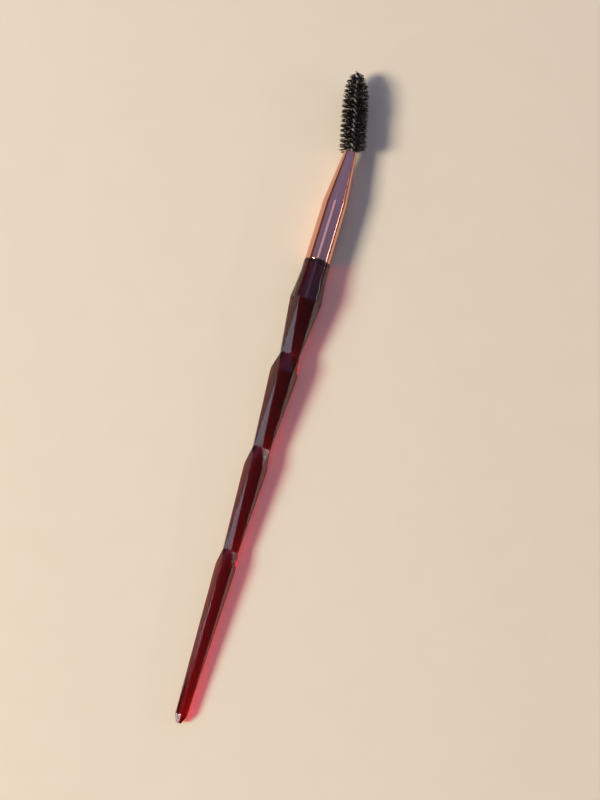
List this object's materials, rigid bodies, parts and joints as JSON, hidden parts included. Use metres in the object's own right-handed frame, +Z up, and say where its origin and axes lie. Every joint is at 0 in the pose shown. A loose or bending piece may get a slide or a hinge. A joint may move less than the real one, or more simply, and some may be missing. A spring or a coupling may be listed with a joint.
{
  "type": "eyebrow brush",
  "caption": "Spiral eyebrow brush with a gem-cut see-through handle, a tapered metal ferrule and a twisted-wire head of dark filaments.",
  "frame": {"origin": "centre of the brush's footprint on the table it lies on, so the table is at Z = 0", "axes": "+Y along the brush towards its bristle head, +Z up, +X to the right with the head pointing away; the head bends towards -X"},
  "size_m": [0.0104, 0.1702, 0.0081],
  "materials": {
    "acrylic": "polished, see-through dark ruby",
    "rose_gold_aluminium": "polished and anodised rose gold",
    "glue": "set resin",
    "wire": "drawn bright",
    "nylon": "satin black-brown filament"
  },
  "bodies": {
    "root": {"handle": "acrylic", "ferrule": "rose_gold_aluminium", "glue_plug": "glue", "wire_core": "wire", "bristles": "nylon"}
  },
  "joints": []
}
